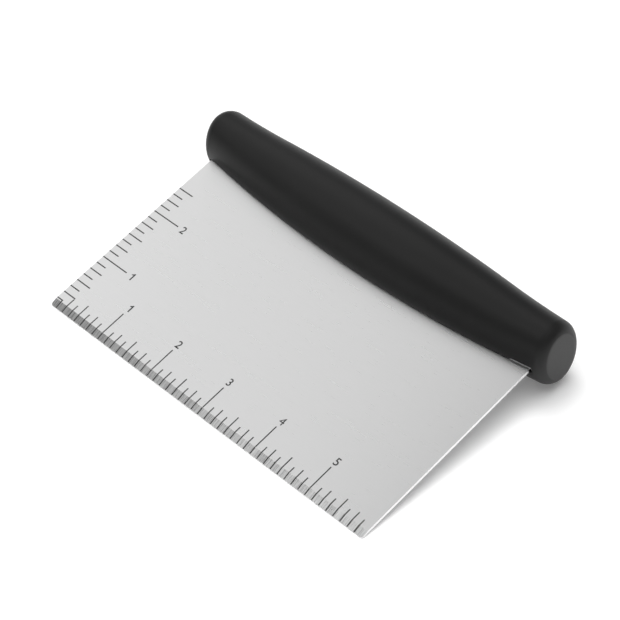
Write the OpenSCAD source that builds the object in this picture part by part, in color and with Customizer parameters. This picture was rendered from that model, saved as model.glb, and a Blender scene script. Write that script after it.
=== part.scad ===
// Bench scraper with a moulded oval handle, lying face up as on a worktop.
// Every piece is drawn in the blade's own frame and laid down at the end:
// X runs along the edge, Y from the edge up to the handle, Z out of the ruler face.

/* [Blade] */
// Width of the blade along its edge
blade_w = 152.4; // [110:0.1:154]
// Height of the whole sheet, with the tang inside the handle
blade_h = 92.3; // [91:0.1:96]
// Thickness of the sheet
blade_t = 1.2; // [0.8:0.1:2]
// Width of the ground bevel along the edge, on the ruler face
bevel_w = 2.8; // [1.5:0.1:6]
// Thickness of metal left at the edge
edge_land = 0.5; // [0.2:0.05:0.7]
// Radius of the two corners at the edge
corner_r = 1; // [0.5:0.1:4]
// Radius of the two corners of the tang
tang_corner_r = 3; // [1:0.5:6]

/* [Tang windows] */
// Number of round windows that the core is moulded through
window_count = 5; // [3:1:5]
// Diameter of a window
window_d = 5.5; // [4:0.1:6.5]
// Distance from one window to the next
window_pitch = 28; // [18:1:30]
// Metal left between a window and the top of the tang
window_margin = 2; // [1.5:0.1:3]

/* [Handle] */
// Height of the handle's long axis above the edge
axis_h = 90.2; // [88:0.1:93]
// Length of the handle
grip_len = 162; // [160:0.5:220]
// Thickness of the handle in its middle, across the blade
grip_t = 32; // [30:0.5:38]
// Height of the handle in its middle, in line with the blade
grip_h = 24.8; // [23:0.1:28]
// Extra height of the handle's belly in its middle, towards the blade
belly = 3.45; // [0:0.05:4]
// How far the handle's surface lies below its middle at the straight collars
end_drop = 2.25; // [1:0.05:2.9]
// Distance from the start of a straight collar to the end of the handle
collar_from_end = 6; // [5:0.5:14]
// Radius of the hollow curve that leads from the barrel to a collar
blend_r = 350; // [100:10:400]
// Radius of the rounded rim round an end face
rim_r = 4; // [3.5:0.1:4.5]
// Wall of the soft grip round the core
grip_wall = 2.2; // [1.5:0.1:3]

/* [Slot] */
// Gap between the grip and each face of the blade
slot_gap = 0.3; // [0.1:0.05:0.6]
// Gap between the grip and each side edge of the blade
slot_end_gap = 0.8; // [0.2:0.1:1.2]

/* [Hidden] */

// Sides of small circles, of the turn that sweeps the handle, and of its long arcs
small_sides = 48;
turn_sides = 96;
arc_sides = 1440;
// Stations of the skin: along half of the handle, round its rim, and round its section
half_rows = 14;
rim_rows = 4;
skin_sides = 48;
// Overhang that keeps a cut clear of the face it starts from
cut_over = 1;

// The oval section has two tight side arcs and two wide arcs, each tangent to the next.
// Their centres lie on a 3-4-5 triangle and stay put along the handle: only radii shrink.
oval_unit = (grip_t - grip_h) / 4;
side_off = 3 * oval_unit;
wide_off = 4 * oval_unit;
side_r = grip_t / 2 - side_off;
wide_r = grip_h / 2 + wide_off;

// Stations along the handle, from its middle
collar_at = grip_len / 2 - collar_from_end;
rim_at = grip_len / 2 - rim_r;

// Tilt at which a line from the edge's lower corner touches the belly of the handle,
// which is half of an ellipse there
half_t = grip_t / 2;
belly_h = grip_h / 2 + belly;
corner_arm = axis_h * blade_t / 2;
reach_2 = axis_h * axis_h - belly_h * belly_h;
spread_2 = half_t * half_t - blade_t * blade_t / 4;
tilt = atan((sqrt(corner_arm * corner_arm + reach_2 * spread_2) - corner_arm) / reach_2);
lift = cos(tilt) * blade_t / 2;
front_y = sin(tilt) * (blade_t / 2 - edge_land);
back_y = cos(tilt) * axis_h + norm([cos(tilt) * grip_h / 2, sin(tilt) * half_t]);

module lie_down() {
    translate([0, -(front_y + back_y) / 2, lift]) rotate([tilt, 0, 0]) children();
}

// Disc in the plane of the outline, where X is the radius and Y runs along the handle
module disc(radius_at, along, radius) {
    translate([radius_at, along]) circle(r = radius, $fn = arc_sides);
}

// Band of the outline between two stations
module band(from, to, from_radius, to_radius) {
    translate([from_radius, from]) square([to_radius - from_radius, to - from]);
}

// Half of the outline that is turned about X to make the handle: a long barrel arc,
// a hollow blend, a straight collar and a rounded rim, each tangent to the next.
// Radii are measured from the handle's surface at its middle, and are negative inwards.
// It reaches a little past the axis, and the turn cuts it off there.
module half_outline(middle, inset) {
    half_len = grip_len / 2 - inset;
    rim = rim_r - inset;
    both_r = (collar_at * collar_at + end_drop * end_drop) / (2 * end_drop);
    barrel_r = both_r - blend_r;
    barrel_end = collar_at * barrel_r / both_r;
    past_axis = -middle - cut_over;

    intersection() {
        band(0, barrel_end, past_axis, 0);
        disc(-barrel_r, 0, barrel_r);
    }
    difference() {
        band(barrel_end, collar_at, past_axis, 0);
        disc(blend_r - end_drop, collar_at, blend_r);
    }
    band(collar_at, rim_at, past_axis, -end_drop);
    band(rim_at, half_len, past_axis, -end_drop - rim);
    intersection() {
        band(rim_at, half_len, -end_drop - rim, -end_drop);
        disc(-end_drop - rim, rim_at, rim);
    }
}

// Turn of the whole outline about X: a half turn starts at +Z and passes +Y
module turn(angle, middle, inset) {
    rotate([0, -90, 0]) rotate_extrude(angle = angle, $fn = turn_sides) intersection() {
        translate([middle, 0]) for (end = [0, 1]) mirror([0, end])
            half_outline(middle, inset);
        translate([0, -grip_len]) square([grip_t, 2 * grip_len]);
    }
}

// Tight side of the bar: the part of a full turn that fans out from its own axis
module tight_side(inset) {
    fan = grip_t / oval_unit;
    intersection() {
        translate([0, 0, side_off]) turn(360, side_r - inset, inset);
        translate([-grip_len, 0, 0]) rotate([90, 0, 90]) linear_extrude(2 * grip_len)
            polygon([[0, side_off],
                [fan * wide_off, side_off * (1 + fan)],
                [-fan * wide_off, side_off * (1 + fan)]]);
    }
}

// Quarter of the bar's wide side: a half turn that starts where the tight side ends
module wide_quarter(inset) {
    intersection() {
        translate([0, -wide_off, 0]) rotate([-atan2(wide_off, side_off), 0, 0])
            turn(180, wide_r - inset, inset);
        translate([-grip_len, 0, 0]) cube([2 * grip_len, grip_t, grip_t]);
    }
}

// Oval bar along X on the handle's axis, with its whole surface sunk by an inset.
// Its parts meet on flat faces only, where their round surfaces are tangent.
module oval_bar(inset) {
    translate([0, axis_h, 0]) for (side = [0, 1]) mirror([0, 0, side]) {
        for (under = [0, 1]) mirror([0, under, 0]) wide_quarter(inset);
        tight_side(inset);
    }
}

// Depth of a long arc of radius r below its crown
function arc_sink(r, x) = r - sqrt(r * r - x * x);

// How far the skin's back and sides lie below their middle at x
function side_sink(x) = let(
    both_r = (collar_at * collar_at + end_drop * end_drop) / (2 * end_drop),
    barrel_r = both_r - blend_r)
    x < collar_at * barrel_r / both_r ? arc_sink(barrel_r, x)
    : x < collar_at ? end_drop - arc_sink(blend_r, collar_at - x)
    : end_drop;

// How far the skin's belly lies below its middle at x: one plain arc from rim to rim
function belly_sink(x) = let(depth = end_drop + belly)
    arc_sink((rim_at * rim_at + depth * depth) / (2 * depth), x);

// One station of the skin: its place, and its half sizes to the side, back and belly
function station(x, reach, cut) = [
    reach,
    half_t - side_sink(x) - cut,
    grip_h / 2 - side_sink(x) - cut,
    belly_h - belly_sink(x) - cut];

// Soft skin's outside: an oval section whose belly swells towards the blade
module skin_bar() {
    half = concat(
        [for (i = [1 : half_rows]) station(rim_at * i / half_rows, rim_at * i / half_rows, 0)],
        [for (i = [1 : rim_rows]) let(turn = 90 * i / rim_rows)
            station(rim_at, rim_at + rim_r * sin(turn), rim_r * (1 - cos(turn)))]);
    count = len(half);
    rows = concat(
        [for (i = [count - 1 : -1 : 0]) concat([-half[i][0]], [for (k = [1 : 3]) half[i][k]])],
        [station(0, 0, 0)],
        half);
    last = len(rows) - 1;
    points = [for (row = rows) for (j = [0 : skin_sides - 1]) let(turn = 360 * j / skin_sides)
        [row[0], (sin(turn) > 0 ? row[2] : row[3]) * sin(turn), row[1] * cos(turn)]];
    sides = [for (i = [0 : last - 1]) for (j = [0 : skin_sides - 1])
        let(a = i * skin_sides + j, b = i * skin_sides + (j + 1) % skin_sides)
        for (face = [[a, b, b + skin_sides], [a, b + skin_sides, a + skin_sides]]) face];
    caps = [[for (j = [skin_sides - 1 : -1 : 0]) j],
        [for (j = [0 : skin_sides - 1]) last * skin_sides + j]];
    translate([0, axis_h, 0]) polyhedron(points, concat(sides, caps));
}

// Outline of the sheet, with its four corners rounded
module sheet_outline() {
    half_w = blade_w / 2;
    for (side = [0, 1]) mirror([side, 0]) {
        translate([0, corner_r]) square([half_w, blade_h - corner_r - tang_corner_r]);
        square([half_w - corner_r, blade_h / 2]);
        translate([half_w - corner_r, corner_r]) circle(r = corner_r, $fn = small_sides);
        translate([0, blade_h / 2]) square([half_w - tang_corner_r, blade_h / 2]);
        translate([half_w - tang_corner_r, blade_h - tang_corner_r])
            circle(r = tang_corner_r, $fn = small_sides);
    }
}

// Stainless sheet with its tang windows and its ground bevel
module sheet() {
    window_y = blade_h - window_margin - window_d / 2;
    first_x = -(window_count - 1) * window_pitch / 2;
    difference() {
        translate([0, 0, -blade_t / 2]) linear_extrude(blade_t) sheet_outline();
        for (i = [0 : window_count - 1])
            translate([first_x + i * window_pitch, window_y, -blade_t])
                cylinder(d = window_d, h = 2 * blade_t, $fn = small_sides);
        translate([-blade_w / 2 - cut_over, 0, 0]) rotate([90, 0, 90])
            linear_extrude(blade_w + 2 * cut_over)
                polygon([[bevel_w, blade_t / 2], [0, edge_land - blade_t / 2],
                    [-cut_over, edge_land - blade_t / 2], [-cut_over, blade_t],
                    [bevel_w, blade_t]]);
    }
}

// Slot through the lower wall of the grip, with round ends, for the blade to stand in
module slot() {
    width = blade_t + 2 * slot_gap;
    reach = blade_w / 2 + slot_end_gap - width / 2;
    translate([0, axis_h, 0]) rotate([90, 0, 0]) linear_extrude(grip_h) {
        square([2 * reach, width], center = true);
        for (side = [-1, 1]) translate([side * reach, 0]) circle(d = width, $fn = small_sides);
    }
}

// Stainless blade: ground edge, rounded corners, and a tang with windows
module blade() {
    color("silver") lie_down() sheet();
}

// Rigid core, moulded round the tang and through its windows
module handle_core() {
    color("dimgray") lie_down() difference() {
        oval_bar(grip_wall);
        sheet();
    }
}

// Soft skin moulded over the core
module soft_grip() {
    color([0.12, 0.12, 0.13]) lie_down() difference() {
        skin_bar();
        oval_bar(grip_wall);
        slot();
    }
}

blade();
handle_core();
soft_grip();
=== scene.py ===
# %% [markdown]
# # A bench scraper with a ruled blade and a soft oval handle
# The real tool is three pieces: a stainless sheet with one ground edge, a rigid core that is
# moulded round the sheet's back, and a soft skin that is moulded over the core.
# The lesson rebuilds what the eye sees of them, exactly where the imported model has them,
# and adds what a solid model leaves out: the etched ruler, the grind lines, the skin's grain,
# the broken edges and the small step at the end of the slot.

# %% Load the frame
import bpy
import bmesh
import math
from mathutils import Matrix, Vector


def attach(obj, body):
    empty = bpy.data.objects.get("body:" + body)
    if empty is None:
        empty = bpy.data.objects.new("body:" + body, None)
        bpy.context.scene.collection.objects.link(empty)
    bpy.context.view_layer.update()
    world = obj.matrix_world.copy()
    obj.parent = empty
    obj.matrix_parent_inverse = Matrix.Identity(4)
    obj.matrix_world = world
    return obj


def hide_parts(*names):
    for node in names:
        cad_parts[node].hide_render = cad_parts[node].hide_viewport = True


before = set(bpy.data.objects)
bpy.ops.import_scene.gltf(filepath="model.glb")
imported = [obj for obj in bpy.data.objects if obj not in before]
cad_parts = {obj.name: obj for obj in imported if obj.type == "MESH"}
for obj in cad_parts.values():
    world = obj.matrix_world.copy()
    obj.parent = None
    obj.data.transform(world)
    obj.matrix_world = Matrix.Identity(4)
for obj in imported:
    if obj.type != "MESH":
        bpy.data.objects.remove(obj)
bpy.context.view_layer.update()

# %% [markdown]
# ## Sizes
# The sizes are the ones the solid model is built with. They are written in millimetres,
# because that is how the tool is drawn, and turned into metres in one place.

# %% Sizes of the tool
MM = 0.001
BLADE_W, BLADE_H, BLADE_T = 152.4 * MM, 92.3 * MM, 1.2 * MM
BEVEL_W, EDGE_LAND = 2.8 * MM, 0.5 * MM
CORNER_R, TANG_CORNER_R = 1.0 * MM, 3.0 * MM
WINDOW_COUNT, WINDOW_D, WINDOW_PITCH, WINDOW_MARGIN = 5, 5.5 * MM, 28 * MM, 2 * MM
AXIS_H, GRIP_LEN, GRIP_T, GRIP_H = 90.2 * MM, 162 * MM, 32 * MM, 24.8 * MM
BELLY = 3.45 * MM
END_DROP, COLLAR_FROM_END, BLEND_R, RIM_R = 2.25 * MM, 6 * MM, 350 * MM, 4 * MM
GRIP_WALL, SLOT_GAP, SLOT_END_GAP = 2.2 * MM, 0.3 * MM, 0.8 * MM
print("blade", round(BLADE_W / MM, 1), "mm wide, handle", round(GRIP_LEN / MM, 1), "mm long")

# %% [markdown]
# ## The way the tool lies
# Every piece is easiest to make in the blade's own frame: X along the edge, Y from the edge
# up to the handle, Z out of the ruler face. On the worktop the tool rests on its edge and on
# the belly of its handle, so one turn about X lays every piece down. The angle is that of the
# line from the edge's lower corner that touches the handle's ellipse, as in the solid model.

# %% Lay a piece down
HALF_T, BELLY_H = GRIP_T / 2, GRIP_H / 2 + BELLY
CORNER_ARM = AXIS_H * BLADE_T / 2
REACH_2 = AXIS_H ** 2 - BELLY_H ** 2
SPREAD_2 = HALF_T ** 2 - BLADE_T ** 2 / 4
TILT = math.atan((math.sqrt(CORNER_ARM ** 2 + REACH_2 * SPREAD_2) - CORNER_ARM) / REACH_2)
LIFT = math.cos(TILT) * BLADE_T / 2
FRONT_Y = math.sin(TILT) * (BLADE_T / 2 - EDGE_LAND)
BACK_Y = math.cos(TILT) * AXIS_H + math.hypot(math.cos(TILT) * GRIP_H / 2,
                                              math.sin(TILT) * HALF_T)
LIE_DOWN = (Matrix.Translation((0, -(FRONT_Y + BACK_Y) / 2, LIFT))
            @ Matrix.Rotation(TILT, 4, "X"))
print("the blade rises by", round(math.degrees(TILT), 3), "degrees")

# %% [markdown]
# ## Keeping a finished piece
# A finished piece is a plain mesh whose object sits at the origin, with its place in its
# vertices. One helper lays the mesh down, hangs it on the body it rides on, and hides the
# imported solids that it stands for.


# %% Helpers for finished pieces
def baked(thing):
    """Plain mesh of an object as its modifiers leave it."""
    bpy.context.view_layer.update()
    graph = bpy.context.evaluated_depsgraph_get()
    return bpy.data.meshes.new_from_object(thing.evaluated_get(graph), depsgraph=graph)


def new_object(name, data):
    thing = bpy.data.objects.new(name, data)
    bpy.context.scene.collection.objects.link(thing)
    return thing


def drop(*things):
    for thing in things:
        bpy.data.objects.remove(thing)


def mesh_from(work, name, *finishes):
    """Turns a bmesh into a mesh with its finishes, and frees the bmesh."""
    mesh = bpy.data.meshes.new(name)
    work.to_mesh(mesh)
    work.free()
    for finish in finishes:
        mesh.materials.append(finish)
    return mesh


def add_polyline(curve, places):
    line = curve.splines.new("POLY")
    line.points.add(len(places) - 1)
    for point, place in zip(line.points, places):
        point.co = (*place, 1)
    return line


def curve_mesh(curve):
    maker = new_object("curve_maker", curve)
    mesh = baked(maker)
    drop(maker)
    return mesh


def face_outwards(mesh, merge=1e-7):
    work = bmesh.new()
    work.from_mesh(mesh)
    bmesh.ops.remove_doubles(work, verts=work.verts, dist=merge)
    bmesh.ops.recalc_face_normals(work, faces=work.faces)
    work.to_mesh(mesh)
    work.free()


def keep(piece, finish, *nodes):
    piece.data.transform(LIE_DOWN)
    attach(piece, "root")
    if nodes:
        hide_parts(*nodes)
    print("kept", piece.name, "with", len(piece.data.polygons), "faces")


# %% [markdown]
# ## Node trees in a few words
# Geometry and shader trees are both built in code. A small helper adds a node, fills in its
# inputs and returns its first output, so that a formula reads almost as it would on paper.


# %% Helpers for node trees
def set_or_link(tree, socket, value):
    if isinstance(value, bpy.types.NodeSocket):
        tree.links.new(value, socket)
    elif value is not None:
        socket.default_value = value


def add_node(tree, kind, *inputs, out=0, **settings):
    node = tree.nodes.new(kind)
    for key, value in settings.items():
        setattr(node, key, value)
    for socket, value in zip([s for s in node.inputs if s.enabled], inputs):
        set_or_link(tree, socket, value)
    return [s for s in node.outputs if s.enabled][out]


def split(tree, vector):
    """X, Y and Z of a vector."""
    node = tree.nodes.new("ShaderNodeSeparateXYZ")
    tree.links.new(vector, node.inputs[0])
    return node.outputs


def math_words(tree):
    """Short names for the math nodes of one tree."""
    kind = "ShaderNodeMath"

    def word(operation, **settings):
        return lambda *inputs: add_node(tree, kind, *inputs, operation=operation, **settings)

    words = {name.lower(): word(name) for name in (
        "ADD", "SUBTRACT", "MULTIPLY", "DIVIDE", "SQRT", "SINE", "COSINE", "SIGN", "ABSOLUTE",
        "LESS_THAN", "GREATER_THAN", "MINIMUM", "MAXIMUM", "MODULO")}
    words["clamp01"] = lambda value: add_node(tree, kind, value, 0.0, operation="ADD",
                                              use_clamp=True)
    return type("Words", (), {key: staticmethod(value) for key, value in words.items()})


def geometry_tree(name, inputs):
    """New geometry tree with named inputs. Returns the tree and its input sockets by name."""
    tree = bpy.data.node_groups.new(name, "GeometryNodeTree")
    tree.interface.new_socket("Geometry", in_out="OUTPUT", socket_type="NodeSocketGeometry")
    for label, kind, default in inputs:
        socket = tree.interface.new_socket(label, in_out="INPUT", socket_type="NodeSocket" + kind)
        if default is not None:
            socket.default_value = default
    entry = tree.nodes.new("NodeGroupInput")
    return tree, {label: entry.outputs[label] for label, kind, default in inputs}


def end_tree(tree, geometry, material):
    """Ends a tree in Realize Instances and Set Material."""
    real = add_node(tree, "GeometryNodeRealizeInstances", geometry)
    done = add_node(tree, "GeometryNodeSetMaterial", real, None, material)
    out = tree.nodes.new("NodeGroupOutput")
    tree.links.new(done, out.inputs["Geometry"])


def run_tree(name, tree, values):
    """Bakes one run of a geometry tree into a plain mesh object."""
    thing = new_object(name + "_maker", bpy.data.meshes.new(name))
    modifier = thing.modifiers.new(name, "NODES")
    modifier.node_group = tree
    ids = {item.name: item.identifier for item in tree.interface.items_tree
           if item.in_out == "INPUT"}
    for label, value in values.items():
        modifier[ids[label]] = value
    mesh = baked(thing)
    drop(thing)
    return mesh


# %% [markdown]
# ## Fine grain, shared by every finish
# Rolled steel, ground steel and moulded rubber all carry a grain. It is the same noise each
# time, stretched along one direction for metal and left even for rubber, so it is one group
# that gives a value for tone and a height for the bump.


# %% The grain group
def make_grain_group():
    tree = bpy.data.node_groups.new("fine grain", "ShaderNodeTree")
    tree.interface.new_socket("Place", in_out="INPUT", socket_type="NodeSocketVector")
    for label, default in (("Stretch X", 1.0), ("Stretch Y", 1.0), ("Stretch Z", 1.0),
                           ("Fineness", 1000.0), ("Patch", 60.0)):
        tree.interface.new_socket(label, in_out="INPUT",
                                  socket_type="NodeSocketFloat").default_value = default
    for label in ("Tone", "Height", "Patches"):
        tree.interface.new_socket(label, in_out="OUTPUT", socket_type="NodeSocketFloat")
    entry = tree.nodes.new("NodeGroupInput").outputs
    stretch = add_node(tree, "ShaderNodeCombineXYZ", entry["Stretch X"], entry["Stretch Y"],
                       entry["Stretch Z"])
    place = add_node(tree, "ShaderNodeVectorMath", entry["Place"], stretch, operation="MULTIPLY")
    fine = add_node(tree, "ShaderNodeTexNoise", place, entry["Fineness"], 4.0, 0.6)
    coarse = add_node(tree, "ShaderNodeTexNoise", place, entry["Patch"], 2.0, 0.5)
    out = tree.nodes.new("NodeGroupOutput")
    words = math_words(tree)
    tone = words.add(words.multiply(fine, 0.75), words.multiply(coarse, 0.25))
    tree.links.new(tone, out.inputs["Tone"])
    tree.links.new(fine, out.inputs["Height"])
    tree.links.new(coarse, out.inputs["Patches"])
    return tree


GRAIN = make_grain_group()
print("grain group has", len(GRAIN.nodes), "nodes")


# %% [markdown]
# ## A material's skeleton
# Each finish starts as a Principled shader with its grain group beside it. Constants are set
# on the shader itself, and only what changes over the surface is linked. Noise seldom leaves
# the band from 0.3 to 0.7, so that band is what a range of tone or roughness is stretched over.


# %% Start a material
def start_material(name, settings):
    material = bpy.data.materials.new(name)
    material.use_nodes = True
    tree = material.node_tree
    shader = tree.nodes["Principled BSDF"]
    for label, value in settings.items():
        shader.inputs[label].default_value = value
    where = tree.nodes.new("ShaderNodeTexCoord").outputs["Object"]
    return material, tree, shader, where


def add_grain(tree, where, fineness, patch, stretch=(1, 1, 1)):
    group = tree.nodes.new("ShaderNodeGroup")
    group.node_tree = GRAIN
    tree.links.new(where, group.inputs["Place"])
    for label, value in zip(("Stretch X", "Stretch Y", "Stretch Z"), stretch):
        group.inputs[label].default_value = value
    group.inputs["Fineness"].default_value = fineness
    group.inputs["Patch"].default_value = patch
    return group.outputs


def between(tree, value, low, high):
    """Turns a grain value into a range of some other quantity."""
    return add_node(tree, "ShaderNodeMapRange", value, 0.3, 0.7, low, high)


def set_grey(tree, shader, tint):
    colour = add_node(tree, "ShaderNodeCombineColor", tint, tint, tint)
    tree.links.new(colour, shader.inputs["Base Color"])


def set_roughness(tree, shader, value, low, high):
    tree.links.new(between(tree, value, low, high), shader.inputs["Roughness"])


def add_bump(tree, shader, height, distance, strength):
    bump = add_node(tree, "ShaderNodeBump", strength, distance, None, height)
    tree.links.new(bump, shader.inputs["Normal"])


# %% [markdown]
# ## Stainless sheet
# The blade is cold-rolled stainless whose satin grain runs along the edge. Such a face
# smears what it mirrors across the grain and keeps it sharp along the grain, which one
# roughness can't do, so the shader is anisotropic and takes its direction from a flat UV map.
# The grain group stretches its noise along X and changes the tone and the roughness a little
# from place to place. The real grain is less than a micron deep, so it has no bump: one that
# faint only shows up as noise.


# %% The sheet's finish
def make_sheet_steel():
    material, tree, shader, where = start_material("satin stainless", {
        "Metallic": 1.0, "Anisotropic": 0.9, "Anisotropic Rotation": 0.25})
    tangent = add_node(tree, "ShaderNodeTangent", direction_type="UV_MAP", uv_map="grain")
    tree.links.new(tangent, shader.inputs["Tangent"])
    grain = add_grain(tree, where, fineness=2600.0, patch=300.0, stretch=(0.04, 1, 1))
    set_grey(tree, shader, between(tree, grain["Tone"], 0.668, 0.684))
    set_roughness(tree, shader, grain["Tone"], 0.27, 0.295)
    return material


SHEET_STEEL = make_sheet_steel()
print("finish:", SHEET_STEEL.name)


# %% [markdown]
# ## Ground bevel
# The bevel is cut by a wheel that runs across the edge, so its lines run up and down it and
# are coarser than the sheet's own grain. Its tone is painted dark at the left and bright at
# the right: a painted reflection that stands in for the brighter light the slope mirrors.


# %% The bevel's finish
def make_ground_steel(left_end=-76 * MM, right_end=76 * MM, left_painted_reflection=0.56, right_painted_reflection=1.36):
    material, tree, shader, where = start_material("ground stainless", {"Metallic": 1.0})
    grain = add_grain(tree, where, fineness=2200.0, patch=160.0, stretch=(1, 0.05, 0.05))
    # painted reflection: the tint ramps from dark at the left end to bright at the right end
    painted_reflection_ramp = add_node(tree, "ShaderNodeMapRange", split(tree, where)["X"], left_end, right_end,
                    left_painted_reflection, right_painted_reflection)
    tint = math_words(tree).multiply(painted_reflection_ramp, between(tree, grain["Tone"], 0.42, 0.72))
    set_grey(tree, shader, tint)
    set_roughness(tree, shader, grain["Tone"], 0.22, 0.36)
    add_bump(tree, shader, grain["Height"], 0.003 * MM, 0.8)
    return material


GROUND_STEEL = make_ground_steel()
print("finish:", GROUND_STEEL.name)


# %% [markdown]
# ## Sheared edges
# The narrow sides of the sheet come from the shear and are polished by a tumbler. They have no
# grain of their own, so a plain bright steel with a little unevenness does.


# %% The sheared edges' finish
def make_edge_steel():
    material, tree, shader, where = start_material("sheared stainless", {"Metallic": 1.0})
    grain = add_grain(tree, where, fineness=3000.0, patch=400.0)
    set_grey(tree, shader, between(tree, grain["Tone"], 0.82, 0.9))
    set_roughness(tree, shader, grain["Patches"], 0.2, 0.32)
    add_bump(tree, shader, grain["Height"], 0.001 * MM, 0.5)
    return material


EDGE_STEEL = make_edge_steel()
print("finish:", EDGE_STEEL.name)


# %% [markdown]
# ## Etched marks
# The ruler is etched into the sheet, which leaves the steel dull and dark grey. It is not
# ink: it keeps a trace of the metal's shine.


# %% The marks' finish
def make_etch():
    material, tree, shader, where = start_material("etched mark", {"Metallic": 0.35})
    grain = add_grain(tree, where, fineness=5000.0, patch=900.0)
    set_grey(tree, shader, between(tree, grain["Tone"], 0.02, 0.045))
    set_roughness(tree, shader, grain["Patches"], 0.48, 0.66)
    add_bump(tree, shader, grain["Height"], 0.002 * MM, 0.5)
    return material


ETCH = make_etch()
print("finish:", ETCH.name)


# %% [markdown]
# ## Soft skin and rigid core
# The skin is a matt black moulded rubber. The mould is lightly spark-eroded, which leaves an
# even, very fine stipple that spreads every highlight. Its flat ends are painted much lighter
# than the rest: painted light that stands in for the light the ends catch from the side. The
# core is a hard plastic of the same kind of black; it shows only as a dark line at the bottom
# of the slot.


# %% The handle's finishes
def make_moulded(name, tone, roughness, fineness, bump, painted_end_gain=5.0):
    material, tree, shader, where = start_material(name, {"Specular IOR Level": 0.28})
    grain = add_grain(tree, where, fineness=fineness, patch=45.0)
    m = math_words(tree)
    # painted light: the flat ends' tone is multiplied up to stand in for the light they catch
    painted_end_light = add_node(tree, "ShaderNodeMapRange", m.absolute(split(tree, where)["X"]),
                      GRIP_LEN / 2 - 0.15 * MM, GRIP_LEN / 2 - 0.05 * MM, 1.0, painted_end_gain)
    tint = m.multiply(painted_end_light, between(tree, grain["Patches"], tone * 0.88, tone * 1.12))
    set_grey(tree, shader, tint)
    set_roughness(tree, shader, grain["Tone"], roughness - 0.04, roughness + 0.05)
    add_bump(tree, shader, grain["Height"], bump, 0.6)
    return material


SKIN = make_moulded("soft black skin", 0.0075, 0.46, 2200.0, 0.01 * MM)
CORE = make_moulded("core plastic", 0.02, 0.4, 1500.0, 0.005 * MM)
print("finishes:", SKIN.name, "and", CORE.name)


# %% [markdown]
# ## The oval bar
# The handle's shape follows a rule. Its section is two half ellipses that share their sides:
# a flat one at the back and a fuller one at the belly, towards the blade. Along the tool the
# sides and the back sink over a long barrel arc, through a hollow blend to a straight collar,
# and round a rim to the flat end, while the belly follows one plain arc from rim to rim. So a
# point on the skin is a direction times two half sizes, and a grid in a geometry tree is
# enough: one side of the grid runs along the tool, the other round the section.
#
# The profile comes first. The blend has a radius of its own. The other two arcs follow from how
# far they fall over a known reach.


# %% Profile along the bar
def bar_profile(m, given, x, rim_at, collar):
    """How far the back has sunk at x, and how much further out the belly stands there."""
    square = lambda value: m.multiply(value, value)
    arc_radius = lambda reach, fall: m.divide(
        m.add(square(reach), square(fall)), m.multiply(fall, 2.0))
    sagitta = lambda radius, offset: m.subtract(
        radius, m.sqrt(m.subtract(square(radius), square(offset))))
    pick = lambda test, yes, no: m.add(
        m.multiply(test, yes), m.multiply(m.subtract(1.0, test), no))

    fall, blend = given["End Drop"], given["Blend Radius"]
    both = arc_radius(collar, fall)
    barrel = m.subtract(both, blend)
    barrel_end = m.divide(m.multiply(collar, barrel), both)
    on_blend = m.subtract(fall, sagitta(blend, m.subtract(x, collar)))
    sink = pick(m.less_than(x, barrel_end), sagitta(barrel, x),
                pick(m.less_than(x, collar), on_blend, fall))
    bow = arc_radius(rim_at, m.add(fall, given["Belly"]))
    swell = m.multiply(m.greater_than(given["Belly"], 0.0),
                       m.add(given["Belly"], m.subtract(sink, sagitta(bow, x))))
    return sink, swell


# %% [markdown]
# ## The bar's tree
# Along the tool the grid spends most of its length on the body, a little on the rim's quarter
# circle, and the rest on closing the flat end. Merging the points that fall together makes the
# grid one closed skin.


# %% Tree for the oval bar
def make_bar_tree():
    tree, given = geometry_tree("oval bar", [
        ("Length", "Float", 0.1), ("Thickness", "Float", 0.03), ("Height", "Float", 0.02),
        ("Belly", "Float", 0.003), ("End Drop", "Float", 0.002),
        ("Collar From End", "Float", 0.006), ("Blend Radius", "Float", 0.3),
        ("Rim Radius", "Float", 0.004), ("Inset", "Float", 0.0),
        ("Rows", "Int", 241), ("Columns", "Int", 129), ("Material", "Material", None)])
    m = math_words(tree)
    half = m.divide(given["Length"], 2.0)
    rim_at = m.subtract(half, given["Rim Radius"])
    rim = m.subtract(given["Rim Radius"], given["Inset"])

    grid = add_node(tree, "GeometryNodeMeshGrid", 1.0, 1.0, given["Rows"], given["Columns"])
    place = split(tree, add_node(tree, "GeometryNodeInputPosition"))
    along = m.multiply(place["X"], 2.0)
    turn = m.multiply(m.add(place["Y"], 0.5), 2 * math.pi)
    side, reach = m.sign(along), m.absolute(along)
    body_share, rim_share = 0.80, 0.93
    x = m.multiply(rim_at, m.minimum(m.divide(reach, body_share), 1.0))
    quarter = m.multiply(m.clamp01(m.divide(m.subtract(reach, body_share),
                                            rim_share - body_share)), math.pi / 2)
    close = m.subtract(1.0, m.clamp01(m.divide(m.subtract(reach, rim_share), 1 - rim_share)))

    sink, swell = bar_profile(m, given, x, rim_at, m.subtract(half, given["Collar From End"]))
    sink = m.add(m.add(sink, given["Inset"]),
                 m.multiply(rim, m.subtract(1.0, m.cosine(quarter))))
    x = m.multiply(side, m.add(x, m.multiply(rim, m.sine(quarter))))

    across, up = m.cosine(turn), m.sine(turn)
    z = m.multiply(across, m.subtract(m.divide(given["Thickness"], 2.0), sink))
    back = m.subtract(m.divide(given["Height"], 2.0), sink)
    y = m.multiply(up, m.add(back, m.multiply(m.less_than(up, 0.0), swell)))
    point = add_node(tree, "ShaderNodeCombineXYZ", x, m.multiply(close, y), m.multiply(close, z))
    moved = add_node(tree, "GeometryNodeSetPosition", grid, None, point)
    merged = add_node(tree, "GeometryNodeMergeByDistance", moved, None, 1e-7)
    smooth = add_node(tree, "GeometryNodeSetShadeSmooth", merged, None, True)
    end_tree(tree, smooth, given["Material"])
    return tree


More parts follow.
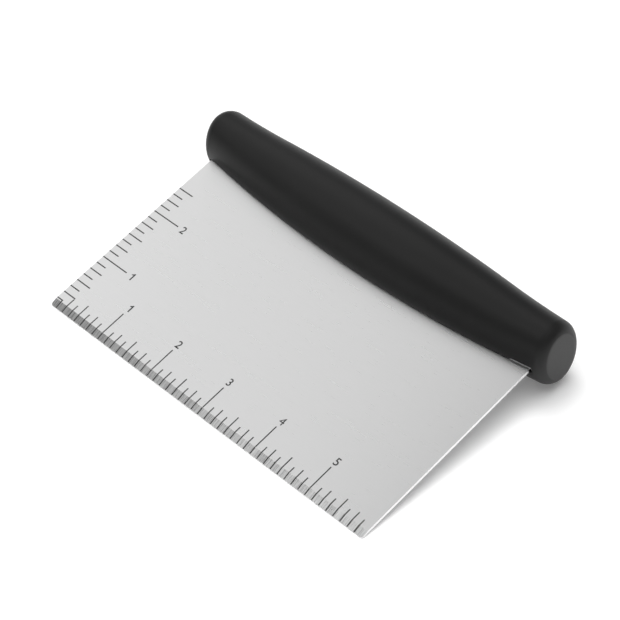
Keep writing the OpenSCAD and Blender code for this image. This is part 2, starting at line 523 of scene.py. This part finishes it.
BAR_TREE = make_bar_tree()
print("the oval bar's tree has", len(BAR_TREE.nodes), "nodes")


# %% [markdown]
# ## Outer and inner bar
# The same tree makes the outside of the skin and the room for the core. The room has no belly
# and lies one wall's thickness further in, so one rule keeps the two in step.


# %% Bake the outer and inner bars
def make_bar(name, belly, inset, rows, columns, material):
    mesh = run_tree(name, BAR_TREE, {
        "Length": GRIP_LEN, "Thickness": GRIP_T, "Height": GRIP_H, "Belly": belly,
        "End Drop": END_DROP, "Collar From End": COLLAR_FROM_END, "Blend Radius": BLEND_R,
        "Rim Radius": RIM_R, "Inset": inset, "Rows": rows, "Columns": columns,
        "Material": material})
    mesh.transform(Matrix.Translation((0, AXIS_H, 0)))
    face_outwards(mesh)
    return new_object(name, mesh)


skin = make_bar("Soft_grip", BELLY, 0.0, 321, 161, SKIN)
hollow = make_bar("core_room", 0.0, GRIP_WALL, 121, 81, SKIN)
print("outer bar", [round(v / MM, 2) for v in skin.dimensions])

# %% [markdown]
# ## The slot's mouth
# The blade enters the handle through a narrow slot with round ends. A mould can't leave a
# knife-sharp edge in rubber, so the mouth rolls over in a small radius, and that roll is what
# catches the light beside the blade. The cutter is the slot's outline, stacked in rings: the
# rings widen along a quarter circle as they reach the skin.


# %% Cutter for the slot
def belly_y(x):
    """Height above the edge of the handle's belly, at a distance from the handle's middle."""
    rim_at, depth = GRIP_LEN / 2 - RIM_R, END_DROP + BELLY
    bow = (rim_at ** 2 + depth ** 2) / (2 * depth)
    return AXIS_H - BELLY_H + bow - math.sqrt(bow ** 2 - min(abs(x), rim_at) ** 2)


def slot_ring(grow, end_steps=12, side_steps=60):
    """Outline of the slot, in X and Z, grown outwards."""
    radius = BLADE_T / 2 + SLOT_GAP
    reach = BLADE_W / 2 + SLOT_END_GAP - radius
    ring = []
    for end in (1, -1):
        for step in range(end_steps + 1):
            turn = math.pi * (step / end_steps - 0.5)
            ring.append((end * (reach + (radius + grow) * math.cos(turn)),
                         end * (radius + grow) * math.sin(turn)))
        ring += [(end * reach * (1 - 2 * step / side_steps), end * (radius + grow))
                 for step in range(1, side_steps)]
    return ring


def make_slot_cutter(roll=0.35 * MM, roll_steps=6, clear=2 * MM, overlap=0.02 * MM):
    rings = [(lambda x: belly_y(0) - clear, roll), (lambda x: belly_y(x) - overlap, roll)]
    for step in range(1, roll_steps + 1):
        turn = math.pi / 2 * step / roll_steps
        depth = roll * (1 - math.cos(turn)) - overlap
        rings.append((lambda x, depth=depth: belly_y(x) + depth, roll * (1 - math.sin(turn))))
    rings.append((lambda x: AXIS_H, 0.0))
    work = bmesh.new()
    layers = [[work.verts.new((x, height(x), z)) for x, z in slot_ring(grow)]
              for height, grow in rings]
    for low, high in zip(layers, layers[1:]):
        for i in range(len(low)):
            j = (i + 1) % len(low)
            work.faces.new((low[i], low[j], high[j], high[i]))
    work.faces.new(layers[0])
    work.faces.new(list(reversed(layers[-1])))
    mesh = mesh_from(work, "slot_cutter", SKIN)
    face_outwards(mesh)
    return new_object("slot_cutter", mesh)


cutter = make_slot_cutter()
print("slot cutter", [round(v / MM, 2) for v in cutter.dimensions])


# %% [markdown]
# ## Step at the slot's right end
# Over the last 8 mm at the right the slot's upper lip steps back from the blade by about a
# millimetre, and its edge shows as a thin bright line. A small box makes the step, and a fine
# pale bead makes the line: the bead's shape is the lip's edge, and its pale tone is a painted
# highlight.


# %% Step and bead
LIP_FROM, LIP_TO, LIP_RISE = 68.8 * MM, BLADE_W / 2 + SLOT_END_GAP, 1.1 * MM
LIP_Z = BLADE_T / 2 + LIP_RISE
# painted highlight: the lip's bead is pale grey, standing in for the glint on the lip's edge
SLOT_LIP_HIGHLIGHT = make_moulded("painted highlight on the slot's lip", 0.4, 0.35, 2200.0, 0.003 * MM)


def make_step_cutter(depth=4 * MM, forward=0.6 * MM):
    work = bmesh.new()
    size = (LIP_TO - LIP_FROM, depth, LIP_Z)
    middle = ((LIP_TO + LIP_FROM) / 2, belly_y(LIP_TO) - forward, LIP_Z / 2)
    bmesh.ops.create_cube(work, size=1.0, matrix=Matrix.Translation(middle)
                          @ Matrix.Diagonal((*size, 1)))
    return new_object("step_cutter", mesh_from(work, "step_cutter", SKIN))


def make_lip_bead(radius=0.15 * MM, points=12, proud=0.02 * MM, above=0.1 * MM):
    curve = bpy.data.curves.new("Slot_lip_highlight", "CURVE")
    curve.dimensions, curve.bevel_depth, curve.bevel_resolution = "3D", radius, 3
    curve.use_fill_caps = True
    along = [LIP_FROM + (LIP_TO - LIP_FROM) * i / (points - 1) for i in range(points)]
    add_polyline(curve, [(x, belly_y(x) - proud, LIP_Z + above) for x in along])
    mesh = curve_mesh(curve)
    face_outwards(mesh)
    mesh.materials.clear()
    mesh.materials.append(SLOT_LIP_HIGHLIGHT)
    return new_object("Slot_lip_highlight", mesh)


step_cutter = make_step_cutter()
keep(make_lip_bead(), "grip_rubber")

# %% [markdown]
# ## Hollow the skin and open the slot
# The skin is a wall round the core, so the inner bar comes out of the outer one first and the
# slot after it. An exact boolean does both, and its result is baked to a plain mesh.


# %% Cut the skin
def cut(thing, *tools):
    for tool in tools:
        modifier = thing.modifiers.new("cut", "BOOLEAN")
        modifier.operation, modifier.solver, modifier.object = "DIFFERENCE", "EXACT", tool
    mesh = baked(thing)
    thing.modifiers.clear()
    thing.data = mesh
    drop(*tools)


cut(skin, hollow, cutter, step_cutter)
for face in skin.data.polygons:
    face.use_smooth = True
keep(skin, "grip_rubber", "soft_grip")

# %% [markdown]
# ## The blade
# The sheet is stamped from a coil, so its outline is flat with rounded corners. The bevel is a
# plain slope on the ruler's side that leaves a narrow land at the edge. Both are simple enough
# to write down as points and a height.


# %% Outline of the sheet
def sheet_outline(steps=10):
    half = BLADE_W / 2
    corners = [(half - CORNER_R, CORNER_R, CORNER_R, -90),
               (half - TANG_CORNER_R, BLADE_H - TANG_CORNER_R, TANG_CORNER_R, 0),
               (-half + TANG_CORNER_R, BLADE_H - TANG_CORNER_R, TANG_CORNER_R, 90),
               (-half + CORNER_R, CORNER_R, CORNER_R, 180)]
    points = []
    for x, y, radius, start in corners:
        for step in range(steps + 1):
            turn = math.radians(start + 90 * step / steps)
            points.append((x + radius * math.cos(turn), y + radius * math.sin(turn)))
    return points


def face_height(y):
    """Height of the ruler face above the middle of the sheet."""
    if y >= BEVEL_W:
        return BLADE_T / 2
    return EDGE_LAND - BLADE_T / 2 + (BLADE_T - EDGE_LAND) * y / BEVEL_W


print("outline of", len(sheet_outline()), "points")


# %% [markdown]
# ## Thickness, bevel and windows
# The outline is drawn up to its thickness. A cut along the bevel's upper line divides the face,
# and the part in front of it is pressed down to the land. The windows in the tang let the core
# run through; a boolean with round pins opens them all at once.


# %% Make the sheet
def make_sheet():
    work = bmesh.new()
    under = [work.verts.new((x, y, -BLADE_T / 2)) for x, y in sheet_outline()]
    over = [work.verts.new((x, y, BLADE_T / 2)) for x, y in sheet_outline()]
    work.faces.new(list(reversed(under)))
    work.faces.new(over)
    for i in range(len(under)):
        j = (i + 1) % len(under)
        work.faces.new((under[i], under[j], over[j], over[i]))
    bmesh.ops.bisect_plane(work, geom=work.verts[:] + work.edges[:] + work.faces[:], dist=1e-7,
                           plane_co=(0, BEVEL_W, 0), plane_no=(0, 1, 0))
    for vert in work.verts:
        if vert.co.z > 0:
            vert.co.z = face_height(vert.co.y)
    mesh = mesh_from(work, "Blade", SHEET_STEEL, GROUND_STEEL, EDGE_STEEL)
    face_outwards(mesh)
    return new_object("Blade", mesh)


def make_window_pins():
    work = bmesh.new()
    for i in range(WINDOW_COUNT):
        place = Matrix.Translation(((i - (WINDOW_COUNT - 1) / 2) * WINDOW_PITCH,
                                    BLADE_H - WINDOW_MARGIN - WINDOW_D / 2, 0))
        bmesh.ops.create_cone(work, cap_ends=True, segments=48, radius1=WINDOW_D / 2,
                              radius2=WINDOW_D / 2, depth=4 * BLADE_T, matrix=place)
    return new_object("window_pins", mesh_from(work, "window_pins"))


blade = make_sheet()
cut(blade, make_window_pins())
print("blade", [round(v / MM, 2) for v in blade.dimensions])

# %% [markdown]
# ## Finish, broken edges and grain map
# Each face gets its finish by the way it looks: flat faces are rolled, the slope in front is
# ground, and the sides are sheared. Every edge is then broken by a few hundredths, because a
# real stamped edge always glints, and a flat map gives the sheet's shine its direction.

# %% Finish the sheet
SHEET, GROUND, EDGE = 0, 1, 2
for face in blade.data.polygons:
    lies_flat = abs(face.normal.z) > 0.5
    ground = lies_flat and face.normal.z > 0 and face.center.y < BEVEL_W
    face.material_index = GROUND if ground else SHEET if lies_flat else EDGE
edge_break = blade.modifiers.new("edge break", "BEVEL")
edge_break.width, edge_break.segments = 0.05 * MM, 2
edge_break.limit_method, edge_break.angle_limit = "ANGLE", math.radians(30)
edge_break.material = EDGE
blade.data = baked(blade)
blade.modifiers.clear()
grain_map = blade.data.uv_layers.new(name="grain")
for loop in blade.data.loops:
    spot = blade.data.vertices[loop.vertex_index].co
    grain_map.data[loop.index].uv = (spot.x / BLADE_W, spot.y / BLADE_W)
keep(blade, "blade_steel", "blade")

# %% [markdown]
# ## The ruler
# Two inch scales share one corner: one along the edge and one up the left side. A scale is a
# row of strokes a step of an eighth apart, and the length of a stroke says whether it marks
# an eighth, a quarter, a half or an inch. That is a rule, so a geometry tree draws it: a line
# of points, a stroke on each, its length picked by counting, and every stroke pressed on to
# the face, down over the bevel. The first stroke of each scale is cut short where it meets the
# other scale's first stroke, so the two close a small square in the corner.


# %% Tree for a ruler scale
def make_scale_tree():
    tree, given = geometry_tree("ruler scale", [
        ("Count", "Int", 8), ("First", "Float", 0.003), ("Step", "Float", 0.003175),
        ("Width", "Float", 0.0004), ("Eighth", "Float", 0.005), ("Quarter", "Float", 0.006),
        ("Half", "Float", 0.007), ("Inch", "Float", 0.012), ("Corner", "Float", 0.003),
        ("Start", "Float", 0.0), ("Bevel Width", "Float", 0.003), ("Bevel Drop", "Float", 0.0),
        ("Depth", "Float", 0.00004), ("Material", "Material", None)])
    m = math_words(tree)
    first = add_node(tree, "ShaderNodeCombineXYZ", given["First"], 0.0, 0.0)
    step = add_node(tree, "ShaderNodeCombineXYZ", given["Step"], 0.0, 0.0)
    line = add_node(tree, "GeometryNodeMeshLine", given["Count"], first, step)
    number = m.add(add_node(tree, "GeometryNodeInputIndex"), 1.0)
    pick = lambda every, yes, no: m.add(
        m.multiply(m.less_than(m.modulo(number, every), 0.5), m.subtract(yes, no)), no)
    length = pick(8.0, given["Inch"], pick(4.0, given["Half"],
                  pick(2.0, given["Quarter"], given["Eighth"])))
    is_first = m.less_than(number, 1.5)
    length = m.add(m.multiply(is_first, m.subtract(given["Corner"], length)), length)
    length = m.subtract(length, given["Start"])
    stroke = add_node(tree, "GeometryNodeMeshCube", (1, 1, 1), 2, 40, 2)
    size = add_node(tree, "ShaderNodeCombineXYZ", given["Width"], length, given["Depth"])
    strokes = add_node(tree, "GeometryNodeInstanceOnPoints", line, None, stroke, None, None,
                       None, size)
    centre = add_node(tree, "ShaderNodeCombineXYZ", 0.0,
                      m.add(m.divide(length, 2.0), given["Start"]), 0.0)
    strokes = add_node(tree, "GeometryNodeTranslateInstances", strokes, None, centre, False)
    real = add_node(tree, "GeometryNodeRealizeInstances", strokes)
    place = split(tree, add_node(tree, "GeometryNodeInputPosition"))
    slope = m.subtract(1.0, m.minimum(m.divide(place["Y"], given["Bevel Width"]), 1.0))
    down = add_node(tree, "ShaderNodeCombineXYZ", 0.0, 0.0,
                    m.multiply(m.multiply(slope, given["Bevel Drop"]), -1.0))
    pressed = add_node(tree, "GeometryNodeSetPosition", real, None, None, down)
    end_tree(tree, pressed, given["Material"])
    return tree


SCALE_TREE = make_scale_tree()
print("the ruler's tree has", len(SCALE_TREE.nodes), "nodes")

# %% [markdown]
# ## Sizes of the scales
# The steps are true eighths of an inch. The rest is as the tool's maker drew it: neither scale
# starts exactly at the sheet's side, and the strokes along the edge are a little longer than
# those up the side.

# %% Sizes of the scales
INCH = 25.4 * MM
STEP = INCH / 8
STROKE, MARK_DEPTH, MARK_START = 0.44 * MM, 0.03 * MM, 0.06 * MM
EDGE_ZERO, SIDE_ZERO = -0.43 * MM, 0.28 * MM
EDGE_COUNT, SIDE_COUNT = 47, 20
EDGE_LENGTHS = {"Eighth": 5.2 * MM, "Quarter": 6.3 * MM, "Half": 7.5 * MM, "Inch": 12.8 * MM}
SIDE_LENGTHS = {"Eighth": 4.75 * MM, "Quarter": 6.1 * MM, "Half": 6.9 * MM, "Inch": 12.6 * MM}
print(EDGE_COUNT, "strokes along the edge and", SIDE_COUNT, "up the side")


# %% [markdown]
# ## Both scales
# The tree draws every scale along X. The edge's scale only has to be lifted on to the face. The
# side's scale swaps X and Y and moves to the sheet's left side, and it has no bevel to run over.


# %% Draw both scales
def draw_scale(name, count, first, corner, bevel_drop, lengths, place):
    marks = run_tree(name, SCALE_TREE, {
        "Count": count, "First": first, "Step": STEP, "Width": STROKE, "Corner": corner,
        "Start": MARK_START, "Bevel Width": BEVEL_W, "Bevel Drop": bevel_drop,
        "Depth": MARK_DEPTH, "Material": ETCH, **lengths})
    marks.transform(place)
    face_outwards(marks)
    keep(new_object(name, marks), "blade_steel")


on_face = Matrix.Translation((0, 0, BLADE_T / 2))
up_the_side = Matrix(((0, 1, 0, -BLADE_W / 2), (1, 0, 0, 0), (0, 0, 1, BLADE_T / 2),
                      (0, 0, 0, 1)))
draw_scale("Edge_ruler_marks", EDGE_COUNT, EDGE_ZERO + STEP - BLADE_W / 2,
           SIDE_ZERO + STEP + STROKE / 2, BLADE_T - EDGE_LAND, EDGE_LENGTHS, on_face)
draw_scale("Side_ruler_marks", SIDE_COUNT, SIDE_ZERO + STEP,
           EDGE_ZERO + STEP + STROKE / 2, 0.0, SIDE_LENGTHS, up_the_side)

# %% [markdown]
# ## The ruler's numbers
# Plain numbers stand over the inch strokes. Blender's own plain font will do, thickened a
# little where that doesn't close a figure's eye, except for the 1, which is drawn here with
# the bold flag that an engraver's 1 has.


# %% Draw a figure
def draw_figure(text):
    if text != "1":
        curve = bpy.data.curves.new("number_" + text, "FONT")
        curve.body, curve.size, curve.resolution_u = text, 1.0, 8
        curve.offset = 0.0 if text == "4" else 0.008
        return curve
    curve = bpy.data.curves.new("number_1", "CURVE")
    curve.dimensions, curve.fill_mode = "2D", "BOTH"
    corners = [(0.0, 0.0), (0.17, 0.0), (0.17, 1.0), (0.04, 1.0), (-0.06, 0.87),
               (-0.24, 0.78), (-0.24, 0.64), (0.0, 0.72)]
    add_polyline(curve, [(x, y, 0) for x, y in corners]).use_cyclic_u = True
    return curve


# %% [markdown]
# ## Place the numbers
# Each figure is turned into a mesh first and placed after that, 3.1 mm tall, so that a figure
# drawn from listed points and one from the font are treated alike. The row along the edge sinks
# a little towards the right.


# %% Place the numbers
def make_number(number, x, y, height=3.1 * MM):
    curve = draw_figure(str(number))
    curve.extrude = 0.5
    mesh = curve_mesh(curve)
    lows = [min(v.co[i] for v in mesh.vertices) for i in range(3)]
    highs = [max(v.co[i] for v in mesh.vertices) for i in range(3)]
    scale = height / (highs[1] - lows[1])
    mesh.transform(Matrix.Translation([-(low + high) / 2 for low, high in zip(lows, highs)]))
    mesh.transform(Matrix.Diagonal((scale, scale, MARK_DEPTH, 1)))
    mesh.transform(Matrix.Translation((x - BLADE_W / 2, y, BLADE_T / 2)))
    return mesh


def join_meshes(name, meshes, finish):
    work = bmesh.new()
    for mesh in meshes:
        work.from_mesh(mesh)
    joined = mesh_from(work, name, finish)
    face_outwards(joined)
    return new_object(name, joined)


EDGE_ROW_X, EDGE_ROW_Y, EDGE_ROW_SINK, SIDE_ROW_X = 0.2 * MM, 15.95 * MM, 0.12 * MM, 15.4 * MM
numbers = [make_number(n, EDGE_ZERO + n * INCH + EDGE_ROW_X, EDGE_ROW_Y - n * EDGE_ROW_SINK)
           for n in (1, 2, 3, 4, 5)]
numbers += [make_number(n, SIDE_ROW_X, SIDE_ZERO + n * INCH) for n in (1, 2)]
keep(join_meshes("Ruler_numbers", numbers, ETCH), "blade_steel")

# %% [markdown]
# ## The core
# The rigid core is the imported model's own solid. Its shape is right, so it stays and only
# gets its plastic.

# %% Finish the core
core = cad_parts["handle_core"]
core.data.materials.clear()
core.data.materials.append(CORE)
print("the core keeps its solid,", len(core.data.polygons), "triangles")

# %% [markdown]
# ## Floor
# The tool lies on a white sheet. The floor is a plain pale surface that takes the tool's
# shadow. To the camera and in reflections it gets a little light of its own, just enough to
# bring it up to white.


# %% Floor
def make_floor(reach=3.0, own_light=0.15):
    material, tree, shader, where = start_material("white sheet", {
        "Base Color": (0.93, 0.93, 0.93, 1), "Roughness": 0.8, "Specular IOR Level": 0.0})
    path = tree.nodes.new("ShaderNodeLightPath").outputs
    m = math_words(tree)
    seen = m.maximum(path["Is Camera Ray"], m.maximum(path["Is Glossy Ray"],
                                                      path["Is Transmission Ray"]))
    glow = tree.nodes.new("ShaderNodeEmission")
    tree.links.new(m.multiply(seen, own_light), glow.inputs["Strength"])
    both = tree.nodes.new("ShaderNodeAddShader")
    tree.links.new(shader.outputs[0], both.inputs[0])
    tree.links.new(glow.outputs[0], both.inputs[1])
    tree.links.new(both.outputs[0], tree.nodes["Material Output"].inputs["Surface"])
    work = bmesh.new()
    bmesh.ops.create_grid(work, x_segments=8, y_segments=8, size=reach)
    floor = new_object("Floor", mesh_from(work, "Floor", material))
    print("floor", [round(v, 2) for v in floor.dimensions])


make_floor()


# %% [markdown]
# ## Surroundings
# The room is three things at once. Its light comes from overhead, which keeps the shadow close
# under the tool. The camera sees it plain white. Reflections see a grey room that is white
# down at the horizon, where the floor runs into it, and lighter straight overhead, with two
# soft boxes. The large box stands where the blade looks; the room is a little brighter at the
# place that the blade's left end mirrors, and darker at the one that its right end mirrors.
# The small box draws the streak along the handle.


# %% Surroundings
def direction(azimuth, elevation):
    """Unit vector for a bearing from +Y towards +X and a height above the floor, in degrees."""
    azimuth, elevation = math.radians(azimuth), math.radians(elevation)
    return (math.sin(azimuth) * math.cos(elevation), math.cos(azimuth) * math.cos(elevation),
            math.sin(elevation))


def make_surround(light, dim, boxes):
    """A box is bearing, height, inner and outer angle in degrees, and gain."""
    world = bpy.data.worlds.new("white room")
    bpy.context.scene.world = world
    world.use_nodes = True
    tree = world.node_tree
    tree.nodes.clear()
    path = tree.nodes.new("ShaderNodeLightPath").outputs
    m = math_words(tree)
    mirrored = m.maximum(path["Is Glossy Ray"], path["Is Transmission Ray"])
    where = tree.nodes.new("ShaderNodeTexCoord").outputs["Generated"]

    def patch(axis, outer, inner, gain):
        """Gain round an axis, fading in from one cosine to the other."""
        cosine = add_node(tree, "ShaderNodeVectorMath", where, axis, operation="DOT_PRODUCT")
        return add_node(tree, "ShaderNodeMapRange", cosine, outer, inner, 0.0, gain,
                        interpolation_type="SMOOTHSTEP")

    left, right, back, up, down = (-1, 0, 0), (1, 0, 0), (0, 1, 0), (0, 0, 1), (0, 0, -1)
    horizon = patch(down, -0.12, 0.0, 1 - dim)
    zenith = patch(up, 0.93, 0.99, 0.5)
    left_gain = m.multiply(patch(left, 0.59, 0.63, 0.28), patch(back, -0.2, 0.05, 1.0))
    right_loss = m.add(patch(right, -0.46, -0.415, -0.26), patch(right, -0.3, -0.05, 0.26))
    shown = dim
    for part in (horizon, zenith, left_gain, right_loss):
        shown = m.add(shown, part)
    for azimuth, elevation, inner, outer, gain in boxes:
        shown = m.add(shown, patch(direction(azimuth, elevation), math.cos(math.radians(outer)),
                                   math.cos(math.radians(inner)), gain))
    lit = patch(up, 0.75, 0.98, light)
    strength = m.add(lit, m.multiply(mirrored, m.subtract(shown, lit)))
    strength = m.add(strength, m.multiply(path["Is Camera Ray"], m.subtract(1.0, strength)))
    background = add_node(tree, "ShaderNodeBackground", (1, 1, 1, 1), strength)
    out = tree.nodes.new("ShaderNodeOutputWorld")
    tree.links.new(background, out.inputs["Surface"])
    print("the room's tree has", len(tree.nodes), "nodes")


BLADE_BOX, STREAK_BOX = (-76, 50, 4, 30, 0.8), (-140, 44, 3, 14, 2.4)
make_surround(light=3.2, dim=0.32, boxes=[BLADE_BOX, STREAK_BOX])

# %% [markdown]
# ## Lamps
# One large soft lamp hangs high, a little behind and to the left, so the shade gathers under the
# handle's right end. A weak one fills in from the camera's side.


# %% Lamps
def add_lamp(name, place, size, power):
    """Square lamp that looks at the tool and stays out of reflections."""
    light = bpy.data.lights.new(name, "AREA")
    light.shape, light.size, light.energy = "SQUARE", size, power
    lamp = new_object(name, light)
    lamp.location = place
    lamp.rotation_euler = (-Vector(place)).to_track_quat("-Z", "Y").to_euler()
    lamp.visible_glossy = False
    print("lamp", name, "of", power, "W")


add_lamp("key", (-0.25, 0.25, 1.3), size=0.6, power=5)
add_lamp("fill", (0.9, -0.7, 1.0), size=0.8, power=1)

# %% [markdown]
# ## Camera
# The place, the direction and the lens were worked out from the photograph: the ruler's inch
# strokes are a known distance apart, and lines that are parallel on the tool fix the rest.
# They are given in the blade's own frame, so the camera is laid down together with the tool.

# %% Camera
eye = Vector((393.54, -189.76, 589.99)) * MM
rightward = Vector((0.70107, 0.68923, -0.18293))
forward = Vector((-0.52465, 0.32479, -0.78693))
turn = Matrix((rightward, rightward.cross(forward), -forward)).transposed()
camera_data = bpy.data.cameras.new("camera")
camera_data.lens, camera_data.sensor_width = 128.31, 36.0
camera_data.clip_start, camera_data.clip_end = 0.01, 20
camera = new_object("camera", camera_data)
camera.location = LIE_DOWN @ eye
camera.rotation_euler = (LIE_DOWN.to_3x3() @ turn).to_euler()
bpy.context.scene.camera = camera
bpy.context.scene.view_settings.view_transform = "Standard"
print("the camera stands at", [round(v, 3) for v in camera.location])
